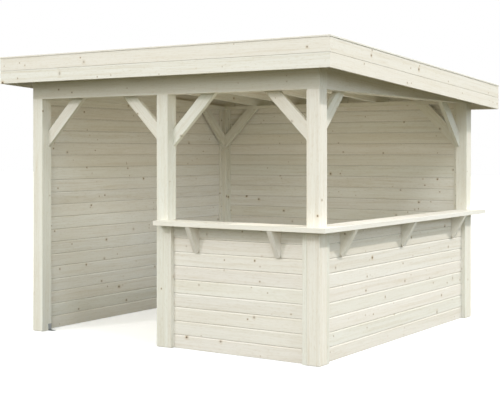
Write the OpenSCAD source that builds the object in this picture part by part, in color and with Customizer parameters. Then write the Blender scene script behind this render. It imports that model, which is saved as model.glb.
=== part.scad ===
// Garden bar gazebo in timber: a square post-and-beam frame with a lean-to roof, boarded
// walls on the left and at the back, an open bay to walk in by at the front left, and a
// half-height bar with a counter shelf round the front right corner.
// Units are millimetres. The front faces -Y, the left is at -X, and the ground is at z = 0
// under the middle of the roof.

/* [Frame] */
// Width over the outer faces of the posts
frame_w = 3000; // [2600:10:4200]
// Depth over the outer faces of the posts
frame_d = 3000; // [2400:10:4200]
// Side of a square post
post_s = 116; // [110:1:160]
// How far the middle post stands to the left of the front's middle
middle_post_shift = 9; // [-60:1:60]
// Height from the ground to the underside of the beams
clear_h = 2100; // [1950:10:2500]
// Height of the front beam at its outer face
front_beam_h = 198; // [160:1:260]
// Height of the rear beam at its outer face
rear_beam_h = 30; // [20:1:120]

/* [Braces] */
// Distance from the corner of post and beam to the far edge of a brace, along each of them
brace_leg = 430; // [300:10:600]
// Width of a brace board
brace_w = 100; // [60:5:120]
// Thickness of a brace board
brace_t = 40; // [25:1:50]

/* [Walls] */
// Distance from the outer faces of the posts in to the face of the wall boards
wall_recess = 40; // [20:1:50]
// Thickness of the wall boards
wall_t = 19; // [14:1:28]
// Width of the battens at the ends of a wall
batten_w = 37; // [25:1:60]

/* [Bar counter] */
// Height of the counter's top above the ground
counter_top = 1055; // [950:5:1150]
// Thickness of the counter
counter_t = 40; // [28:1:50]
// Width of the counter boards
counter_w = 220; // [180:1:320]
// How far the counter stands out past the posts at the front
counter_out_front = 104; // [60:1:130]
// How far the counter stands out past the posts at the side
counter_out_side = 104; // [60:1:130]
// How far the counter's left end stops short of the middle post's left face
counter_short = 43; // [0:1:60]
// How far the counter runs on past the rear post
counter_past = 122; // [0:1:180]

/* [Counter brackets] */
// Thickness of a bracket
bracket_t = 45; // [28:1:60]
// Height of a bracket under the counter
bracket_h = 217; // [150:1:300]
// Distance that a bracket stops short of the counter's outer edge
bracket_short = 3; // [2:1:20]
// How far a bracket's tip stands out from the wall boards
bracket_tip = 22; // [8:1:40]
// From each post beside the front bar to the nearest bracket's centre
front_bracket_inset = 275; // [120:5:400]
// From the corner post to the first side bracket's centre
side_bracket_first = 295; // [120:1:500]
// From the rear post to the last side bracket's centre
side_bracket_last = 270; // [120:1:500]

/* [Roof] */
// Overhang of the roof past the posts, on all four sides
overhang = 205; // [120:5:400]
// Width of a rafter
rafter_w = 45; // [35:1:70]
// Height of a rafter
rafter_h = 95; // [70:1:145]
// Number of rafters between the two that lie on the side beams
rafter_count = 5; // [3:1:7]
// Thickness of the roof boards
roof_board_t = 19; // [16:1:28]
// Thickness of the roof covering
covering_t = 3; // [2:1:6]
// Height of one fascia board
fascia_h = 113; // [95:1:145]
// Thickness of a fascia board
fascia_t = 19; // [16:1:28]
// How far the fascia stands up over the roof boards
fascia_upstand = 42; // [15:1:60]
// Width of the cap strip along the fascia's top edge
cap_w = 45; // [35:1:70]
// Thickness of the cap strip
cap_t = 13; // [8:1:25]
// How far the cap strip stands out past the fascia's face
cap_nose = 5; // [0:1:12]

/* [Ground anchors] */
// Width of an anchor's steel angle
anchor_w = 40; // [25:1:60]
// Height of its upright leg
anchor_h = 60; // [40:1:100]
// Length of its leg on the ground
anchor_foot = 58; // [40:1:100]
// Thickness of its steel
anchor_t = 3; // [2:1:6]

/* [Hidden] */

// Outer faces of the posts
left = -frame_w / 2;
right = frame_w / 2;
front = -frame_d / 2;
rear = frame_d / 2;

// Outer left edge of the middle post
middle = -post_s / 2 - middle_post_shift;

// Clear lengths between the posts: the whole back, the sides, and the two bays at the front
back_bay = frame_w - 2 * post_s;
side_bay = frame_d - 2 * post_s;
entry_length = middle - left - post_s;
bar_length = right - post_s - middle - post_s;

// The inside battens fill the depth between the wall boards and the braces
inner_batten_t = post_s - wall_recess - wall_t - brace_t;

// The roof falls from the front to the back
slope = (front_beam_h - rear_beam_h) / frame_d;
fascia_top = rafter_h + roof_board_t + fascia_upstand;
counter_bottom = counter_top - counter_t;

// The four sides of the roof, in the order of the frame's corners
FRONT = 0;
RIGHT = 1;
REAR = 2;
LEFT = 3;

timber = [0.90, 0.87, 0.80];
board = [0.86, 0.83, 0.75];

// Height of the rafters' underside
function rafter_bottom(y) = clear_h + front_beam_h - slope * (y - front);

// Corner k of the frame, moved outwards by out
function corner(k, out) = [
    (k == 0 || k == 3) ? left - out : right + out,
    (k == 0 || k == 1) ? front - out : rear + out,
];

// Plan of one side of a mitred border that runs from out_2 to out_1 past the frame
function border(side, out_1, out_2) = [
    corner(side, out_1), corner((side + 1) % 4, out_1),
    corner((side + 1) % 4, out_2), corner(side, out_2),
];

// ---- Shared shapes ----

module box(x, y, z) {
    translate([x[0], y[0], z[0]]) cube([x[1] - x[0], y[1] - y[0], z[1] - z[0]]);
}

// Carries an outline drawn in Y and Z across the whole building
module across(outline) {
    reach = frame_w / 2 + 2 * overhang;
    translate([-reach, 0, 0]) rotate([90, 0, 90]) linear_extrude(2 * reach) polygon(outline);
}

// The space between two planes that lie parallel to the roof, lo and hi over the rafters' underside
module roof_layer(lo, hi) {
    y_0 = front - 2 * overhang;
    y_1 = rear + 2 * overhang;
    across([
        [y_0, rafter_bottom(y_0) + lo], [y_1, rafter_bottom(y_1) + lo],
        [y_1, rafter_bottom(y_1) + hi], [y_0, rafter_bottom(y_0) + hi],
    ]);
}

// A shape of the given plan within one layer of the roof
module roof_piece(plan, lo, hi) {
    intersection() {
        roof_layer(lo, hi);
        linear_extrude(2 * clear_h) polygon(plan);
    }
}

module post(x, y) {
    color(timber) box([x, x + post_s], [y, y + post_s], [0, clear_h]);
}

// A beam on the posts, with its top cut to the roof's slope
module beam(x, y) {
    color(timber) intersection() {
        across([
            [y[0], clear_h], [y[1], clear_h],
            [y[1], rafter_bottom(y[1])], [y[0], rafter_bottom(y[0])],
        ]);
        box(x, y, [clear_h, 2 * clear_h]);
    }
}

// The bays are the spans between two posts. Each is drawn from its left-hand post, as seen from
// outside, with X along the bay, Y going in from the posts' outer faces, and Z up.
module entry_bay() { translate([left + post_s, front, 0]) children(); }
module bar_bay() { translate([middle + post_s, front, 0]) children(); }
module right_bay() { translate([right, front + post_s, 0]) rotate(90) children(); }
module rear_bay() { translate([right - post_s, rear, 0]) rotate(180) children(); }
module left_bay() { translate([left, rear - post_s, 0]) rotate(-90) children(); }

// A brace that rises from the bay's first post to the beam, flush with their inner faces
module brace() {
    cut = brace_leg - brace_w * sqrt(2);
    color(timber) translate([0, post_s, clear_h]) rotate([90, 0, 0]) linear_extrude(brace_t)
        polygon([[0, -brace_leg], [brace_leg, 0], [cut, 0], [0, -cut]]);
}

// The same brace at the bay's other post
module far_brace(bay) {
    translate([bay, 0, 0]) mirror([1, 0, 0]) brace();
}

module wall(bay, h) {
    color(board) box([0, bay], [wall_recess, wall_recess + wall_t], [0, h]);
}

// Battens at both ends of a wall, in front of its boards
module outer_pair(bay, h) {
    for (x = [0, bay - batten_w])
        color(timber) box([x, x + batten_w], [0, wall_recess], [0, h]);
}

// Battens at both ends of a wall, behind its boards
module inner_pair(bay, h) {
    back_face = wall_recess + wall_t;
    for (x = [0, bay - batten_w])
        color(timber) box([x, x + batten_w], [back_face, back_face + inner_batten_t], [0, h]);
}

// A bracket between the wall boards and the counter, centred at x along the bay.
// Its lower end is cut back at 45 degrees from the tip to the boards.
module bracket(x, counter_out) {
    tip = counter_bottom - bracket_h;
    color(timber) translate([x - bracket_t / 2, 0, 0]) rotate([90, 0, 90]) linear_extrude(bracket_t)
        polygon([
            [wall_recess, counter_bottom], [wall_recess, tip + bracket_tip],
            [wall_recess - bracket_tip, tip], [bracket_short - counter_out, counter_bottom],
        ]);
}

// Plan of the counter's two boards before the posts are cut out: they meet on a diagonal that
// runs from the outer corner over the corner post
module counter_plan(front_side) {
    outer_x = right + counter_out_side;
    outer_y = front - counter_out_front;
    inner_x = outer_x - counter_w;
    inner_y = outer_y + counter_w;
    if (front_side)
        polygon([[middle + counter_short, outer_y], [outer_x, outer_y], [inner_x, inner_y],
                 [middle + counter_short, inner_y]]);
    else
        polygon([[outer_x, outer_y], [outer_x, rear + counter_past], [inner_x, rear + counter_past],
                 [inner_x, inner_y]]);
}

module counter(front_side) {
    color(timber) translate([0, 0, counter_bottom]) linear_extrude(counter_t) difference() {
        counter_plan(front_side);
        for (at = [[middle, front], [right - post_s, front], [right - post_s, rear - post_s]])
            translate(at) square(post_s);
        // Behind the middle post the counter ends at the bay
        translate([middle, front + post_s]) square([post_s, counter_w]);
    }
}

// ---- Frame ----

module post_front_left() { post(left, front); }
module post_front_middle() { post(middle, front); }
module post_front_right() { post(right - post_s, front); }
module post_rear_right() { post(right - post_s, rear - post_s); }
module post_rear_left() { post(left, rear - post_s); }

module beam_front() { beam([left, right], [front, front + post_s]); }
module beam_rear() { beam([left, right], [rear - post_s, rear]); }
module beam_left() { beam([left, left + post_s], [front + post_s, rear - post_s]); }
module beam_right() { beam([right - post_s, right], [front + post_s, rear - post_s]); }

module brace_entry_left() { entry_bay() brace(); }
module brace_entry_right() { entry_bay() far_brace(entry_length); }
module brace_bar_left() { bar_bay() brace(); }
module brace_bar_right() { bar_bay() far_brace(bar_length); }
module brace_side_front() { right_bay() brace(); }
module brace_side_rear() { right_bay() far_brace(side_bay); }
module brace_back_right() { rear_bay() brace(); }
module brace_back_left() { rear_bay() far_brace(back_bay); }
module brace_left_rear() { left_bay() brace(); }

// ---- Walls ----

module wall_left() { left_bay() wall(side_bay, clear_h); }
module wall_back() { rear_bay() wall(back_bay, clear_h); }
module wall_bar_front() { bar_bay() wall(bar_length, counter_bottom); }
module wall_bar_side() { right_bay() wall(side_bay, counter_bottom); }

module outer_battens() {
    left_bay() outer_pair(side_bay, clear_h);
    rear_bay() outer_pair(back_bay, clear_h);
    bar_bay() outer_pair(bar_length, counter_bottom);
    right_bay() outer_pair(side_bay, counter_bottom);
}

module inner_battens() {
    left_bay() inner_pair(side_bay, clear_h);
    rear_bay() inner_pair(back_bay, clear_h);
    bar_bay() inner_pair(bar_length, counter_bottom);
    right_bay() inner_pair(side_bay, counter_bottom);
}

// ---- Bar counter ----

module counter_front() { counter(true); }
module counter_side() { counter(false); }

module brackets_front() {
    for (x = [front_bracket_inset, bar_length - front_bracket_inset])
        bar_bay() bracket(x, counter_out_front);
}

module brackets_side() {
    last = side_bay - side_bracket_last;
    for (x = [side_bracket_first, (side_bracket_first + last) / 2, last])
        right_bay() bracket(x, counter_out_side);
}

// ---- Roof ----

// A rafter centred at x, from fascia to fascia
module rafter(x) {
    y = frame_d / 2 + overhang - fascia_t;
    w = rafter_w / 2;
    color(timber) roof_piece([[x - w, -y], [x + w, -y], [x + w, y], [x - w, y]], 0, rafter_h);
}

// Evenly spaced rafters from the outer edge of one side beam to that of the other, and one
// behind the fascia on each side
module rafters() {
    first = left + rafter_w / 2;
    pitch = (frame_w - rafter_w) / (rafter_count + 1);
    for (i = [0:rafter_count + 1])
        rafter(first + i * pitch);
    for (side = [-1, 1])
        rafter(side * (right + overhang - fascia_t - rafter_w / 2));
}

// A sheet that fills the roof inside the fascia
module roof_sheet(lo, hi) {
    inside = overhang - fascia_t;
    roof_piece([for (k = [0:3]) corner(k, inside)], lo, hi);
}

module roof_boards() { color(board) roof_sheet(rafter_h, rafter_h + roof_board_t); }

module roof_covering() {
    lo = rafter_h + roof_board_t;
    color([0.30, 0.31, 0.32]) roof_sheet(lo, lo + covering_t);
}

// Board number row of the fascia on one side, counted down from the top
module fascia(side, row) {
    hi = fascia_top - row * fascia_h;
    color(timber) roof_piece(border(side, overhang, overhang - fascia_t), hi - fascia_h, hi);
}

module fascia_upper_front() { fascia(FRONT, 0); }
module fascia_upper_right() { fascia(RIGHT, 0); }
module fascia_upper_rear() { fascia(REAR, 0); }
module fascia_upper_left() { fascia(LEFT, 0); }
module fascia_lower_front() { fascia(FRONT, 1); }
module fascia_lower_right() { fascia(RIGHT, 1); }
module fascia_lower_rear() { fascia(REAR, 1); }
module fascia_lower_left() { fascia(LEFT, 1); }

// The strip that lies on the fascia's top edge
module cap(side) {
    out = overhang + cap_nose;
    color(timber) roof_piece(border(side, out, out - cap_w), fascia_top, fascia_top + cap_t);
}

module cap_front() { cap(FRONT); }
module cap_right() { cap(RIGHT); }
module cap_rear() { cap(REAR); }
module cap_left() { cap(LEFT); }

// ---- Ground anchors ----

// A steel angle at the inner edge of a post, drawn as at the bay's first post
module anchor() {
    color("silver") translate([0, post_s, 0]) rotate([90, 0, 0]) linear_extrude(anchor_w)
        polygon([[0, 0], [anchor_foot, 0], [anchor_foot, anchor_t],
                 [anchor_t, anchor_t], [anchor_t, anchor_h], [0, anchor_h]]);
}

module ground_anchors() {
    entry_bay() {
        anchor();
        translate([entry_length, 0, 0]) mirror([1, 0, 0]) anchor();
    }
}

post_front_left();
post_front_middle();
post_front_right();
post_rear_right();
post_rear_left();
beam_front();
beam_rear();
beam_left();
beam_right();
brace_entry_left();
brace_entry_right();
brace_bar_left();
brace_bar_right();
brace_side_front();
brace_side_rear();
brace_back_right();
brace_back_left();
brace_left_rear();
wall_left();
wall_back();
wall_bar_front();
wall_bar_side();
outer_battens();
inner_battens();
counter_front();
counter_side();
brackets_front();
brackets_side();
rafters();
roof_boards();
roof_covering();
fascia_upper_front();
fascia_upper_right();
fascia_upper_rear();
fascia_upper_left();
fascia_lower_front();
fascia_lower_right();
fascia_lower_rear();
fascia_lower_left();
cap_front();
cap_right();
cap_rear();
cap_left();
ground_anchors();
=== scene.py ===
"""The garden bar gazebo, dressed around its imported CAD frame."""
import math
import random

import bmesh
import bpy
import numpy as np
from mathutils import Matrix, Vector


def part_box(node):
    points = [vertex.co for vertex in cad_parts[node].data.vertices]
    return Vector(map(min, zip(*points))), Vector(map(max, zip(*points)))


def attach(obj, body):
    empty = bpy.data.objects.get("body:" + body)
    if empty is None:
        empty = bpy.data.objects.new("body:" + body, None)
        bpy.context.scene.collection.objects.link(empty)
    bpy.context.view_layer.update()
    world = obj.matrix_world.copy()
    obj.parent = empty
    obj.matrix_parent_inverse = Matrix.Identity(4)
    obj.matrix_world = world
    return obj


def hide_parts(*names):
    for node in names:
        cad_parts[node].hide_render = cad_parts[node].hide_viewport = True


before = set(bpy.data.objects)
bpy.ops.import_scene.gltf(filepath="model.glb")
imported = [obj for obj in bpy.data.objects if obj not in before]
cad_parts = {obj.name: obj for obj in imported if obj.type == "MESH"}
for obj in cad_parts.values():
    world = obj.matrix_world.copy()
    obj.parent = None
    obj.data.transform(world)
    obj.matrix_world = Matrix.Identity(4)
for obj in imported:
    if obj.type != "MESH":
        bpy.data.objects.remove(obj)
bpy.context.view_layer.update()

rng = random.Random(41)
MM = 0.001


# ---- Places taken from the CAD frame ----

def box(node):
    """The lowest and the highest corner of a CAD node."""
    lo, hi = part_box(node)
    return np.array(lo), np.array(hi)


# The roof's slope, from the tops of the front and the rear beam
(front_lo, front_hi), (rear_lo, rear_hi) = box("beam_front"), box("beam_rear")
SLOPE = (front_hi[2] - rear_hi[2]) / (rear_lo[1] - front_lo[1])
ROOF_X = Vector((1, 0, 0))
ROOF_Y = Vector((0, 1, -SLOPE)).normalized()    # down the slope, from the front to the back
ROOF_UP = ROOF_X.cross(ROOF_Y)


# ---- Meshes ----

KNOT_SLOTS = 5              # how many knots the material can draw on one face
KNOTS_PER_METRE = 2.1
KNOT_RADII = (2.5, 3.0, 3.0, 3.5, 4.0, 5.0, 6.5, 8.0)    # in mm
KNOT_DARKNESS = (0.35, 0.5, 0.7, 0.85, 1.0)
KNOT_REACH = 60 * MM        # how far along the grain a knot shows
NO_KNOT = (-9.0, 0.0, 1 * MM, 0.0)      # too far away to show


class Timber:
    """Collects solid timbers, each with its own grain, into one mesh."""

    def __init__(self):
        self.verts, self.faces = [], []
        self.grain, self.pith, self.tone = [], [], []
        self.inside = []
        self.knots = [[] for _ in range(KNOT_SLOTS)]

    def add(self, verts, faces, origin, along, across, size, inside=None):
        """One timber. origin is its lowest corner in its own axes, along the grain, across the
        width and through the thickness; size is its size in them. inside is 1 for each face that
        lies in a joint, out of the light, and 0 for the others."""
        along, across = Vector(along).normalized(), Vector(across).normalized()
        through = along.cross(across)
        origin = Vector(origin)
        length, width, thick = size

        def local(point):
            d = Vector(point) - origin
            return d.dot(along), d.dot(across), d.dot(through)

        # A square timber is sawn round the pith, and a flat one beside it
        square = thick > 0.6 * width
        if square:
            pith = (width * rng.uniform(0.3, 0.7), thick * rng.uniform(0.3, 0.7))
        else:
            pith = (width * rng.uniform(-0.2, 1.2),
                    thick / 2 + rng.choice((-1, 1)) * (thick / 2 + rng.uniform(0.03, 0.12)))
        seed = rng.uniform(1, 90)
        tone = (rng.uniform(-1, 1), rng.uniform(0, 1), rng.uniform(0, 1))
        knots = self.scattered_knots(length, width, thick, square, pith)

        base = len(self.verts)
        places = [local(v) for v in verts]
        self.verts += [tuple(v) for v in verts]
        self.grain += places
        self.pith += [(pith[0], pith[1], seed)] * len(verts)
        self.tone += [tone] * len(verts)
        self.inside += inside or [0.0] * len(faces)
        for f in faces:
            lo, hi = min(places[i][0] for i in f), max(places[i][0] for i in f)
            close = sorted((abs(k[0] - (lo + hi) / 2), k) for k in knots
                           if lo - KNOT_REACH < k[0] < hi + KNOT_REACH)
            nearest = [k for _, k in close[:KNOT_SLOTS]]
            nearest += [NO_KNOT] * (KNOT_SLOTS - len(nearest))
            for slot, knot in zip(self.knots, nearest):
                slot.append(knot)
            self.faces.append(tuple(base + i for i in f))

    @staticmethod
    def scattered_knots(length, width, thick, square, pith):
        """Knots as place along, direction out of the pith, radius and darkness. A knot comes out
        of a wide face, or out of any face of a square timber."""
        knots = []
        for _ in range(int(length * KNOTS_PER_METRE + rng.random())):
            at, over, deep = rng.uniform(0, length), rng.uniform(0.06, 0.94) * width, 0.0
            if square and rng.random() < 0.5:
                over, deep = rng.choice((0, width)), rng.uniform(0.06, 0.94) * thick
            elif rng.random() < 0.5:
                deep = thick
            radius, dark = rng.choice(KNOT_RADII) * MM, rng.choice(KNOT_DARKNESS)
            direction = math.atan2(deep - pith[1], over - pith[0]) % (2 * math.pi)
            knots.append((at, direction, radius, dark))
        return knots

    def mesh(self, name):
        """The mesh, with all that the wood material reads from it."""
        mesh = new_mesh(name, self.verts, self.faces)
        for label, rows in ("grain", self.grain), ("pith", self.pith), ("tone", self.tone):
            a = mesh.attributes.new(label, "FLOAT_VECTOR", "POINT")
            a.data.foreach_set("vector", np.array(rows, np.float32).ravel())
        for i, rows in enumerate(self.knots):
            a = mesh.attributes.new("knot_%d" % i, "FLOAT_COLOR", "FACE")
            a.data.foreach_set("color", np.array(rows, np.float32).ravel())
        mesh.attributes.new("inside", "FLOAT", "FACE").data.foreach_set("value", self.inside)
        return mesh


def solids(node):
    """The separate solids of a CAD node, with whole flat faces instead of triangles. Each is found
    by walking along its edges from one corner."""
    bm = bmesh.new()
    bm.from_mesh(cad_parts[node].data)
    bmesh.ops.remove_doubles(bm, verts=bm.verts, dist=1e-5)
    bmesh.ops.dissolve_limit(bm, angle_limit=math.radians(0.5), verts=bm.verts, edges=bm.edges)
    left = set(bm.verts)
    found = []
    while left:
        seed = min(left, key=lambda v: tuple(round(c, 4) for c in v.co))
        group, todo = {seed}, [seed]
        while todo:
            for e in todo.pop().link_edges:
                for v in e.verts:
                    if v not in group:
                        group.add(v)
                        todo.append(v)
        left -= group
        part = bmesh.new()
        made = {v: part.verts.new(v.co) for v in sorted(group, key=lambda v: v.index)}
        for f in bm.faces:
            if f.verts[0] in group:
                part.faces.new([made[v] for v in f.verts])
        part.normal_update()
        found.append(part)
    bm.free()
    return found


def extent(bm):
    """The lowest and the highest corner of a solid."""
    corners = [[v.co[i] for v in bm.verts] for i in range(3)]
    return Vector([min(c) for c in corners]), Vector([max(c) for c in corners])


def grain_axes(bm):
    """Along the longest edge, and across the largest face beside it."""
    edge = max(bm.edges, key=lambda e: (round(e.calc_length(), 4), tuple(e.verts[0].co)))
    along = (edge.verts[1].co - edge.verts[0].co).normalized()
    if along[max(range(3), key=lambda i: abs(along[i]))] < 0:
        along = -along
    flat = max((f for f in bm.faces if abs(f.normal.dot(along)) < 0.2),
               key=lambda f: (round(f.calc_area(), 5), tuple(f.calc_center_median())))
    across = flat.normal.cross(along).normalized()
    return along, across


def eased(bm, radius):
    """Rounds every edge a little, as planed timber and cut steel have it."""
    bmesh.ops.bevel(bm, geom=list(bm.edges), offset=radius, segments=2, profile=0.5,
                    affect="EDGES", clamp_overlap=True)
    bm.normal_update()


def add_solid(timber, bm, radius, lowered=0.0):
    """A CAD solid as a timber with eased edges. lowered takes that much off its top."""
    along, across = grain_axes(bm)
    through = along.cross(across)
    lows, highs = [], []
    for axis in (along, across, through):
        values = [v.co.dot(axis) for v in bm.verts]
        lows.append(min(values))
        highs.append(max(values))
    origin = along * lows[0] + across * lows[1] + through * lows[2]
    size = [highs[i] - lows[i] for i in range(3)]
    for v in {v for f in bm.faces if f.normal.z > 0.9 for v in f.verts}:
        v.co.z -= lowered
    eased(bm, radius)
    # Cut into lengths of half a metre at most, so that each length carries its own knots
    count = int(size[0] / 0.5) + 1
    for k in range(1, count):
        at = lows[0] + size[0] * k / count
        bmesh.ops.bisect_plane(bm, geom=bm.verts[:] + bm.edges[:] + bm.faces[:],
                               plane_co=along * at, plane_no=along)
    bm.verts.index_update()
    timber.add([v.co.copy() for v in bm.verts], [[v.index for v in f.verts] for f in bm.faces],
               origin, along, across, size)
    bm.free()


def new_mesh(name, verts, faces):
    mesh = bpy.data.meshes.new(name)
    mesh.from_pydata([tuple(v) for v in verts], [], faces)
    mesh.update()
    return mesh


def new_object(name, data):
    o = bpy.data.objects.new(name, data)
    bpy.context.scene.collection.objects.link(o)
    return o


def piece(name, mesh, material, nodes):
    """A visible piece of the building, which stands in for CAD nodes."""
    mesh.materials.append(material)
    o = new_object(name, mesh)
    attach(o, "root")
    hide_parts(*nodes)


# ---- Material nodes ----

class Num:
    """A number in a node tree, so that formulas can be written as formulas."""

    def __init__(self, graph, socket):
        self.graph, self.socket = graph, socket

    def __add__(self, other):
        return self.graph.math("ADD", self, other)

    def __sub__(self, other):
        return self.graph.math("SUBTRACT", self, other)

    def __rsub__(self, other):
        return self.graph.math("SUBTRACT", other, self)

    def __mul__(self, other):
        return self.graph.math("MULTIPLY", self, other)

    def __truediv__(self, other):
        return self.graph.math("DIVIDE", self, other)

    def __pow__(self, other):
        return self.graph.math("POWER", self, other)

    def clamp(self):
        return self.graph.math("ADD", self, 0.0, clamp=True)


class Graph:
    """Adds nodes to a node tree and links them."""

    def __init__(self, tree):
        self.tree = tree

    def node(self, kind, **settings):
        n = self.tree.nodes.new(kind)
        for k, v in settings.items():
            setattr(n, k, v)
        return n

    def put(self, socket, value):
        """Links a node's output to a socket, or sets the socket to a constant."""
        if isinstance(value, Num):
            value = value.socket
        if isinstance(value, bpy.types.NodeSocket):
            self.tree.links.new(value, socket)
        else:
            socket.default_value = value

    def math(self, operation, a, b=None, clamp=False):
        n = self.node("ShaderNodeMath", operation=operation, use_clamp=clamp)
        self.put(n.inputs[0], a)
        if b is not None:
            self.put(n.inputs[1], b)
        return Num(self, n.outputs[0])

    def xyz(self, x, y, z):
        n = self.node("ShaderNodeCombineXYZ")
        for i, v in enumerate((x, y, z)):
            self.put(n.inputs[i], v)
        return n.outputs[0]

    def split(self, vector):
        n = self.node("ShaderNodeSeparateXYZ")
        self.put(n.inputs[0], vector)
        return [Num(self, s) for s in n.outputs]

    def attribute(self, name):
        return self.node("ShaderNodeAttribute", attribute_name=name)

    def noise(self, vector, scale=1.0, detail=2.0, roughness=0.5):
        n = self.node("ShaderNodeTexNoise")
        self.put(n.inputs["Vector"], vector)
        n.inputs["Scale"].default_value = scale
        n.inputs["Detail"].default_value = detail
        n.inputs["Roughness"].default_value = roughness
        return Num(self, n.outputs["Fac"])

    def ramp(self, value, lo, hi):
        """A soft step from 0 where value is lo to 1 where it is hi."""
        n = self.node("ShaderNodeMapRange", interpolation_type="SMOOTHSTEP")
        for i, v in enumerate((value, lo, hi)):
            self.put(n.inputs[i], v)
        return Num(self, n.outputs[0])

    def mix(self, fac, a, b, blend="MIX"):
        n = self.node("ShaderNodeMix", data_type="RGBA", blend_type=blend)
        self.put(n.inputs["Factor"], fac)
        self.put(n.inputs[6], a)
        self.put(n.inputs[7], b)
        return n.outputs[2]

    def seen_directly(self):
        """1 for what the camera sees, also in metal or through glass, and 0 for soft light."""
        path = self.node("ShaderNodeLightPath")
        camera, glossy, through = (Num(self, path.outputs["Is %s Ray" % kind])
                                   for kind in ("Camera", "Glossy", "Transmission"))
        return self.math("MAXIMUM", self.math("MAXIMUM", camera, glossy), through)


class Material(Graph):
    """The node graph of a material, with its one shader."""

    def __init__(self, name):
        self.material = bpy.data.materials.new(name)
        self.material.use_nodes = True
        super().__init__(self.material.node_tree)
        self.shader = self.tree.nodes["Principled BSDF"]

    def set(self, **values):
        """Puts values or links on the shader's sockets, named with _ for each space."""
        for name, value in values.items():
            self.put(self.shader.inputs[name.replace("_", " ")], value)

    def bump(self, height, distance, strength):
        n = self.node("ShaderNodeBump")
        n.inputs["Strength"].default_value = strength
        n.inputs["Distance"].default_value = distance
        self.put(n.inputs["Height"], height)
        self.put(self.shader.inputs["Normal"], n.outputs[0])


def srgb(r, g, b):
    def linear(c):
        c /= 255
        return c / 12.92 if c <= 0.04045 else ((c + 0.055) / 1.055) ** 2.4
    return (linear(r), linear(g), linear(b), 1.0)


PINKISH, GREENISH = srgb(236, 222, 207), srgb(224, 225, 208)
KNOT_HALO, KNOT_CORE = srgb(186, 158, 116), srgb(84, 67, 47)
# A dark brown painted as the shade deep inside the joints between boards
PAINTED_JOINT_SHADE = srgb(96, 80, 58)
RINGS_PER_METRE = 260.0


def knot_fields(g, x, vy, vz):
    """How far a point of a timber lies in the core and in the halo of its knots, and how far they
    swell its rings. x is its place along the grain, and vy and vz lead to it from the pith."""
    core, halo, swell = 0.0, 0.0, 0.0
    for i in range(KNOT_SLOTS):
        a = g.attribute("knot_%d" % i)
        kx, angle, radius = g.split(a.outputs["Color"])
        depth = Num(g, a.outputs["Alpha"])
        cos, sin = g.math("COSINE", angle), g.math("SINE", angle)
        behind = g.math("LESS_THAN", vy * cos + vz * sin, 0.0)
        dx, dy = x - kx, vy * sin - vz * cos
        d = g.math("SQRT", dx * dx * 0.7 + dy * dy) / radius + behind * 50.0
        core = g.math("MAXIMUM", core, g.ramp(d, 1.15, 0.75) * depth)
        halo = g.math("MAXIMUM", halo, g.ramp(d, 3.4, 0.8) * depth)
        fall = g.math("EXPONENT", (dx * dx * 0.12 + dy * dy * 0.4) / (radius * radius) * -1.0)
        swell = g.math("MAXIMUM", swell, fall * radius - behind)
    return core, halo, swell


def spruce(name, light, dark, contrast=1.0):
    """Planed, untreated spruce. Rings run round the pith of each timber and swell at its knots."""
    g = Material(name)
    x, y, z = g.split(g.attribute("grain").outputs["Vector"])
    py, pz, seed = g.split(g.attribute("pith").outputs["Vector"])
    level, pink, green = g.split(g.attribute("tone").outputs["Vector"])
    vy, vz = y - py, z - pz
    core, halo, swell = knot_fields(g, x, vy, vz)

    # A place of its own in every noise for each timber
    sx, sy, sz = g.split(g.xyz(x + seed * 3.1, y + seed, z + seed * 1.7))

    def along_grain(length, width, detail, roughness=0.5):
        """Noise drawn out along the grain, with so many waves to a metre along and across."""
        return g.noise(g.xyz(sx * length, sy * width, sz * width), 1.0, detail, roughness)

    wave = along_grain(1.7, 8.0, 3.0)
    ring_at = g.math("SQRT", vy * vy + vz * vz) + wave * 0.024 + swell * 1.6
    late = g.math("FRACT", ring_at * RINGS_PER_METRE) ** 3.0
    band = g.noise(g.xyz(ring_at * 60.0, seed, sx * 0.5), 1.0, 2.0, 0.6)
    streak = along_grain(3.2, 60.0, 3.0, 0.6)
    fleck = along_grain(26.0, 95.0, 3.0, 0.65)
    broad = along_grain(1.2, 9.0, 2.0)
    fibre = along_grain(9.0, 420.0, 2.0)

    shade = (g.ramp(band, 0.42, 0.74) * 0.34 + g.ramp(streak, 0.45, 0.75) * 0.26
             + g.ramp(fleck, 0.5, 0.78) * 0.42 + late * 0.16 + (fibre - 0.5) * 0.26
             + (broad - 0.5) * 0.35) * contrast
    colour = g.mix(shade.clamp(), light, dark)
    colour = g.mix(pink * 0.26, colour, PINKISH)
    colour = g.mix(green * 0.22, colour, GREENISH)
    bright = level * 0.028 + (broad - 0.5) * 0.05 + 1.0
    colour = g.mix(1.0, colour, g.xyz(bright, bright, bright), "MULTIPLY")
    colour = g.mix((halo * 0.5).clamp(), colour, KNOT_HALO)
    colour = g.mix((core * 0.95).clamp(), colour, KNOT_CORE)
    # Painted shade: faces that lie deep in a joint are drawn in that dark brown, as the shade in
    # the gap
    inside = Num(g, g.attribute("inside").outputs["Fac"])
    colour = g.mix(inside * 0.75, colour, PAINTED_JOINT_SHADE)

    g.set(Base_Color=colour, Roughness=0.68 - late * 0.08 + (fibre - 0.5) * 0.1,
          Specular_IOR_Level=0.12)
    g.bump(late * 0.4 + fibre * 0.5 + core * 0.6, 0.4 * MM, 0.5)
    return g.material


def grainy(name, colour, rough, grain, grain_scale, metal=0.0):
    """One colour with a fine grain in it and slow changes over it."""
    g = Material(name)
    at = g.node("ShaderNodeTexCoord").outputs["Object"]
    fine, slow = g.noise(at, grain_scale, 4.0, 0.6), g.noise(at, 6.0, 3.0)
    v = (fine - 0.5) * grain + (slow - 0.5) * 0.25 + 1.0
    g.set(Base_Color=g.mix(1.0, colour, g.xyz(v, v, v), "MULTIPLY"),
          Roughness=(fine - 0.5) * 0.2 + rough, Metallic=metal)
    g.bump(fine, 0.6 * MM, 0.6)
    return g.material


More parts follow.
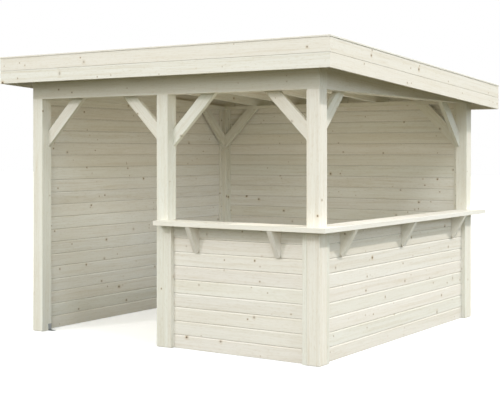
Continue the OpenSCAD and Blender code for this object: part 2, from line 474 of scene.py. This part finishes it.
STREAKS = srgb(209, 199, 178)
FRAME_WOOD = spruce("frame_timber", srgb(236, 235, 228), STREAKS)
WALL_WOOD = spruce("wall_boards", srgb(239, 237, 232), srgb(207, 197, 177))
COUNTER_WOOD = spruce("counter_timber", srgb(240, 238, 233), STREAKS, 0.8)
# The roof boards are drawn darker and yellower than the other timber, as painted shade: they are
# only seen from below, in the shade of the roof
ROOF_WOOD = spruce("roof_timber", srgb(224, 211, 176), srgb(194, 171, 128))
FASCIA_WOOD = spruce("fascia_timber", srgb(237, 235, 229), STREAKS)
FELT = grainy("roof_felt", srgb(92, 95, 98), 0.92, 0.9, 900.0)
ZINC = grainy("galvanised_steel", srgb(150, 154, 156), 0.45, 0.12, 60.0, metal=1.0)


# ---- Timbers whose solids come straight from the frame ----

def timbers(nodes, material, radius, lowered=0.0):
    for node in nodes:
        t = Timber()
        for bm in solids(node):
            add_solid(t, bm, radius, lowered)
        piece(node + "_timber", t.mesh(node), material, [node])


timbers(["post_front_left", "post_front_middle", "post_front_right", "post_rear_right",
         "post_rear_left"], FRAME_WOOD, 3.5 * MM)
timbers(["beam_front", "beam_rear", "beam_left", "beam_right"], FRAME_WOOD,
        2.5 * MM)
timbers([n for n in sorted(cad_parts) if n.startswith("brace_")], FRAME_WOOD,
        2.5 * MM)
timbers(["outer_battens", "inner_battens"], FRAME_WOOD, 1.5 * MM)
timbers(["rafters"], FRAME_WOOD, 2.0 * MM)
timbers(["counter_front", "counter_side"], COUNTER_WOOD, 3.0 * MM)
timbers(["brackets_front", "brackets_side"], COUNTER_WOOD, 2.0 * MM)
for side in ("front", "right", "rear", "left"):
    timbers(["fascia_upper_" + side], FASCIA_WOOD, 2.0 * MM)
    # A fine line shows between the two boards of a fascia
    timbers(["fascia_lower_" + side], FASCIA_WOOD, 2.0 * MM, lowered=1.5 * MM)
    timbers(["cap_" + side], FASCIA_WOOD, 1.5 * MM)


# ---- Boarding ----

COVER = 0.114               # what one board covers
GAP = 2.0 * MM              # between the faces of two boards
EASE = 0.8 * MM             # the bevel at the bottom edge of a board
GROOVE, TONGUE = 3.1 * MM, 2.8 * MM     # half the thickness of each
JOINT_DEPTH = 8.0 * MM      # of the groove
# The hollow at the top edge of a board's faces: how far down and how far in, in mm
COVE = ((11.0, 0.0), (7.5, 2.8), (3.5, 4.0), (0.0, 4.0))
DARK_BEYOND = 4.1 * MM      # a face deeper than this lies in a joint, and the wood paints it in shade
SLIVER = 5 * MM             # a last board narrower than this is left off
STATIONS = 7                # along a board, so that it can bow and carry its knots


def board_outline(thick):
    """Cross-section of a tongued and grooved board, as points across and through. Its tongue goes
    on into the next board's groove."""
    mid = thick / 2
    top = COVER - GAP
    tip = top + 0.8 * JOINT_DEPTH
    return [
        (EASE, 0), *((top - down * MM, in_ * MM) for down, in_ in COVE),
        (top, mid - TONGUE), (tip, mid - TONGUE), (tip, mid + TONGUE), (top, mid + TONGUE),
        *((top - down * MM, thick - in_ * MM) for down, in_ in reversed(COVE)),
        (EASE, thick), (0, thick - EASE),
        (0, mid + GROOVE), (JOINT_DEPTH, mid + GROOVE), (JOINT_DEPTH, mid - GROOVE),
        (0, mid - GROOVE), (0, EASE),
    ]


def sawn(outline, width):
    """The outline of a board that is sawn along its length and keeps width of it."""
    kept = []
    for a, b in outline:
        a = min(a, width)
        if not kept or abs(a - kept[-1][0]) + abs(b - kept[-1][1]) > 1e-6:
            kept.append((a, b))
    return kept


def add_board(timber, origin, along, across, through, length, thick, room):
    """A board from origin, with its outline drawn across and through. It is sawn to fit where the
    room that is left for it is narrower than a board."""
    outline = board_outline(thick)
    if room < COVER - GAP:
        outline = sawn(outline, room)
    along, across, through = Vector(along), Vector(across), Vector(through)
    push = rng.uniform(-0.35, 0.35) * MM
    bow = rng.uniform(-0.5, 0.5) * MM
    verts, faces, inside = [], [], []
    n = len(outline)
    for i in range(STATIONS):
        part = i / (STATIONS - 1)
        off = push + bow * math.sin(math.pi * part)
        for a, b in outline:
            verts.append(origin + along * (part * length) + across * a + through * (b + off))
    for i in range(STATIONS - 1):
        for k in range(n):
            p, q = i * n + k, i * n + (k + 1) % n
            faces.append((p, q, q + n, p + n))
            deep = (outline[k][1] + outline[(k + 1) % n][1]) / 2
            inside.append(float(DARK_BEYOND < deep < thick - DARK_BEYOND))
    faces.append(tuple(range(n - 1, -1, -1)))
    faces.append(tuple(range(len(verts) - n, len(verts))))
    inside += [0.0, 0.0]
    # Turn the faces outwards whichever way the axes run
    if along.cross(across).dot(through) > 0:
        faces = [tuple(reversed(f)) for f in faces]
    timber.add(verts, faces, origin, along, across, (length, COVER, thick), inside)


def boarded_wall(node, axis):
    """A wall of level boards from the ground up, with its length along axis 0 or 1."""
    lo, hi = box(node)
    along = Vector((1, 0, 0)) if axis == 0 else Vector((0, 1, 0))
    through = Vector((0, 1, 0)) if axis == 0 else Vector((1, 0, 0))
    thick = hi[1 - axis] - lo[1 - axis]
    inset = 0.8 * MM
    t = Timber()
    z = lo[2]
    while z < hi[2] - SLIVER:
        origin = Vector(lo)
        origin.z = z
        origin += along * inset
        add_board(t, origin, along, (0, 0, 1), through, hi[axis] - lo[axis] - 2 * inset, thick,
                  room=hi[2] - z)
        z += COVER
    piece(node + "_boards", t.mesh(node), WALL_WOOD, [node])


def roof_boarding():
    """Boards across the rafters, laid from the front to the back."""
    lo, hi = box("roof_boards")
    upright = (hi[2] - lo[2]) - SLOPE * (hi[1] - lo[1])
    thick = upright * ROOF_UP.z
    run = (hi[1] - lo[1]) / ROOF_Y.y
    inset = 1 * MM
    start = Vector((lo[0] + inset, lo[1] + inset, hi[2] - thick / ROOF_UP.z - SLOPE * inset))
    t = Timber()
    at = 0.0
    while at < run - inset - SLIVER:
        add_board(t, start + ROOF_Y * at, ROOF_X, ROOF_Y, ROOF_UP, hi[0] - lo[0] - 2 * inset, thick,
                  room=run - at - 2 * inset)
        at += COVER
    piece("roof_boards_boards", t.mesh("roof_boards"), ROOF_WOOD, ["roof_boards"])


boarded_wall("wall_left", 1)
boarded_wall("wall_back", 0)
boarded_wall("wall_bar_front", 0)
boarded_wall("wall_bar_side", 1)
roof_boarding()


# ---- Roof felt and fixings ----

def heads(name, places, radius, height, sides=10):
    """Round heads of nails or screws. places holds a point on the surface and the way out."""
    verts, faces = [], []
    for point, out in places:
        out = Vector(out).normalized()
        a = out.orthogonal().normalized()
        b = out.cross(a)
        base = len(verts)
        for r, h in ((radius, -0.3 * MM), (radius, 0.5 * height), (0.7 * radius, height)):
            for i in range(sides):
                t = 2 * math.pi * i / sides
                verts.append(Vector(point) + (a * math.cos(t) + b * math.sin(t)) * r + out * h)
        for ring in (0, 1):
            for i in range(sides):
                p, q = base + ring * sides + i, base + ring * sides + (i + 1) % sides
                faces.append((p, q, q + sides, p + sides))
        faces.append(tuple(range(base + 2 * sides, base + 3 * sides)))
    piece(name, new_mesh(name, verts, faces), ZINC, [])


FELT_WIDTH = 1.0            # of a strip, up the slope
FELT_LAP = 90 * MM          # that it lies over the strip below
FELT_RAMP = 30 * MM         # over which it comes down from that lap
FELT_THICK = 1.35 * MM
FELT_COLUMNS = 35           # points along a strip's edge, which is cut a little unevenly
FELT_NAILS = 34             # along a lap


def felt():
    """Strips of felt a metre wide, laid from the rear edge upwards, each lapped over the last
    and nailed along the lap."""
    lo, hi = box("roof_covering")
    run = (hi[1] - lo[1]) / ROOF_Y.y
    # Low enough for two strips to lie within the covering's thickness
    deck = Vector((0, lo[1], hi[2])) - ROOF_UP * 2.95 * MM
    inset = 1 * MM
    verts, faces, nails = [], [], []
    low = run
    while low > 0:
        high = max(low - FELT_WIDTH, 0.0)
        rear = low == run
        raised = 0.0 if rear else FELT_THICK + 0.05 * MM
        section = [(low, raised), (low - FELT_LAP, raised), (low - FELT_LAP - FELT_RAMP, 0.0),
                   (high, 0.0)]
        outline = section + [(at, up + FELT_THICK) for at, up in reversed(section)]
        n = len(outline)
        base = len(verts)
        for i in range(FELT_COLUMNS):
            x = lo[0] + inset + (hi[0] - lo[0] - 2 * inset) * i / (FELT_COLUMNS - 1)
            fray = rng.uniform(-2, 2) * MM
            for k, (at, up) in enumerate(outline):
                edge = fray if k in (0, n - 1) and not rear else 0.0
                verts.append(deck + ROOF_X * x + ROOF_Y * (at - edge) + ROOF_UP * up)
        for i in range(FELT_COLUMNS - 1):
            for k in range(n):
                p, q = base + i * n + k, base + i * n + (k + 1) % n
                faces.append((p, q, q + n, p + n))
        faces.append(tuple(range(base + n - 1, base - 1, -1)))
        faces.append(tuple(range(base + (FELT_COLUMNS - 1) * n, base + FELT_COLUMNS * n)))
        for i in range(FELT_NAILS):
            x = lo[0] + (hi[0] - lo[0]) * (i + 0.5) / FELT_NAILS + rng.uniform(-6, 6) * MM
            at = low - (25 + 30 * (i % 2)) * MM
            top = raised + FELT_THICK
            nails.append((deck + ROOF_X * x + ROOF_Y * at + ROOF_UP * top, ROOF_UP))
        low = high + FELT_LAP if high > 0 else 0.0
    piece("roof_covering_strips", new_mesh("felt", verts, faces), FELT, ["roof_covering"])
    heads("felt_nails", nails, 5 * MM, 0.2 * MM, sides=8)


def anchors():
    """The angles at the feet of the entrance posts, with eased edges and their screws."""
    thick = 3 * MM
    merged = bmesh.new()
    screws = []
    for bm in solids("ground_anchors"):
        lo, hi = extent(bm)
        y = (lo.y + hi.y) / 2
        # Each angle's upright leg lies against its post, and its foot points into the entrance
        by_left_post = abs(lo.x - box("post_front_left")[1][0]) < 1 * MM
        post_face, way = (lo.x, 1) if by_left_post else (hi.x, -1)
        leg = post_face + way * thick
        screws += [((leg, y - 9 * MM, 42 * MM), (way, 0, 0)),
                   ((leg, y + 9 * MM, 25 * MM), (way, 0, 0)),
                   ((post_face + way * 38 * MM, y, thick), (0, 0, 1))]
        eased(bm, 0.9 * MM)
        part = bpy.data.meshes.new("part")
        bm.to_mesh(part)
        merged.from_mesh(part)
        bm.free()
    mesh = bpy.data.meshes.new("anchors")
    merged.to_mesh(mesh)
    merged.free()
    piece("ground_anchor_angles", mesh, ZINC, ["ground_anchors"])
    heads("anchor_screws", screws, 5 * MM, 3 * MM, sides=6)


def batten_nails():
    """A nail through each inner batten into each board behind it."""
    nails = []
    for bm in solids("inner_battens"):
        lo, hi = extent(bm)
        point = (lo + hi) / 2
        axis = 0 if hi.x - lo.x < hi.y - lo.y else 1
        out = Vector((0, 0, 0))
        out[axis] = -1 if point[axis] > 0 else 1
        point[axis] = lo[axis] if point[axis] > 0 else hi[axis]
        z = COVER / 2
        while z < hi.z - 20 * MM:
            nails.append(((point.x, point.y, z + rng.uniform(-8, 8) * MM), out))
            z += COVER
        bm.free()
    heads("batten_nails", nails, 2.6 * MM, 0.8 * MM)


felt()
anchors()
batten_nails()


# ---- Camera, light and floor ----

def camera():
    """Stands to the right of the front at about a person's height, and looks level."""
    data = bpy.data.cameras.new("camera")
    data.sensor_width = 36
    data.lens = 76.76
    data.shift_y = -0.0948
    o = new_object("camera", data)
    o.location = (5.511, -8.485, 1.617)
    o.rotation_euler = (math.radians(90), 0, math.radians(33.602))
    bpy.context.scene.camera = o


def sun(name, to_sun, strength, angle, colour):
    """Light from far away. to_sun is where it comes from, and angle is how wide its source looks,
    in degrees."""
    data = bpy.data.lights.new(name, "SUN")
    data.energy = strength
    data.color = colour
    data.angle = math.radians(angle)
    new_object(name, data).rotation_euler = Vector(to_sun).to_track_quat("Z", "Y").to_euler()


def fill(name, place, size, watts, colour, tilt=0.0):
    """A soft square lamp that faces down, or is tilted from there towards the left. At 180
    degrees it faces up."""
    data = bpy.data.lights.new(name, "AREA")
    data.energy = watts
    data.color = colour
    data.shape = "SQUARE"
    data.size = size
    o = new_object(name, data)
    o.location = place
    o.rotation_euler.y = math.radians(tilt)
    o.visible_camera = False


def surroundings():
    """A plain sky that lights the building and is seen as white."""
    world = bpy.data.worlds.new("world")
    bpy.context.scene.world = world
    world.use_nodes = True
    g = Graph(world.node_tree)
    g.tree.nodes.clear()
    sky, white = g.node("ShaderNodeBackground"), g.node("ShaderNodeBackground")
    g.put(sky.inputs["Color"], (0.98, 1.0, 0.93, 1))
    g.put(sky.inputs["Strength"], 0.99)
    g.put(white.inputs["Color"], (1, 1, 1, 1))
    mix = g.node("ShaderNodeMixShader")
    for socket, value in zip(mix.inputs, (g.seen_directly(), sky.outputs[0], white.outputs[0])):
        g.put(socket, value)
    g.put(g.node("ShaderNodeOutputWorld").inputs["Surface"], mix.outputs[0])


def floor():
    """Seen as white with the building's shadow on it, and a darker ground to soft light."""
    far, z = 60.0, -2 * MM
    mesh = new_mesh("floor", [(-far, -far, z), (far, -far, z), (far, far, z), (-far, far, z)],
                    [(0, 1, 2, 3)])
    g = Material("floor")
    seen = g.seen_directly()
    g.set(Base_Color=g.mix(seen, (0.11, 0.105, 0.062, 1), (0.9, 0.9, 0.9, 1)),
          Roughness=0.9, Specular_IOR_Level=0.0,
          Emission_Color=(1, 1, 1, 1), Emission_Strength=seen * 0.3)
    mesh.materials.append(g.material)
    new_object("floor", mesh)


camera()
# The first and the third are crisp: one for the right side, one that draws the brackets' shadows
# on the front. The others are soft, and the low ones also reach the inner walls.
sun("sun_right_rear", (1.0, 0.7, 1.16), 1.48, 1.0, (1.0, 0.935, 0.89))
sun("light_right", (1.0, -0.35, 1.1), 0.22, 4.0, (0.92, 0.96, 1.0))
sun("light_front_left", (-0.4, -1.0, 0.65), 0.76, 3.0, (1.0, 0.965, 0.985))
sun("light_front_right", (0.6, -1.0, 0.85), 0.42, 12.0, (0.88, 0.94, 1.0))
sun("low_front", (0.3, -1.0, 0.31), 0.36, 20.0, (0.97, 0.99, 1.0))
sun("low_right", (1.0, -0.2, 0.31), 0.39, 20.0, (0.6, 0.77, 1.0))
# Lamps inside, as for light that the ground and the walls throw back
fill("under_roof", (0, 0, box("beam_rear")[0][2] - 0.05), 2.4, 2.6, (1.0, 1.0, 1.0))
fill("off_the_floor", (0.35, -0.75, 0.03), 1.2, 3.3, (1.0, 0.86, 0.22), tilt=180)
fill("to_the_rafters", (0.9, -0.3, 1.3), 0.6, 7.0, (1.0, 0.98, 0.94), tilt=130)
surroundings()
floor()

bpy.context.scene.view_settings.view_transform = "Standard"
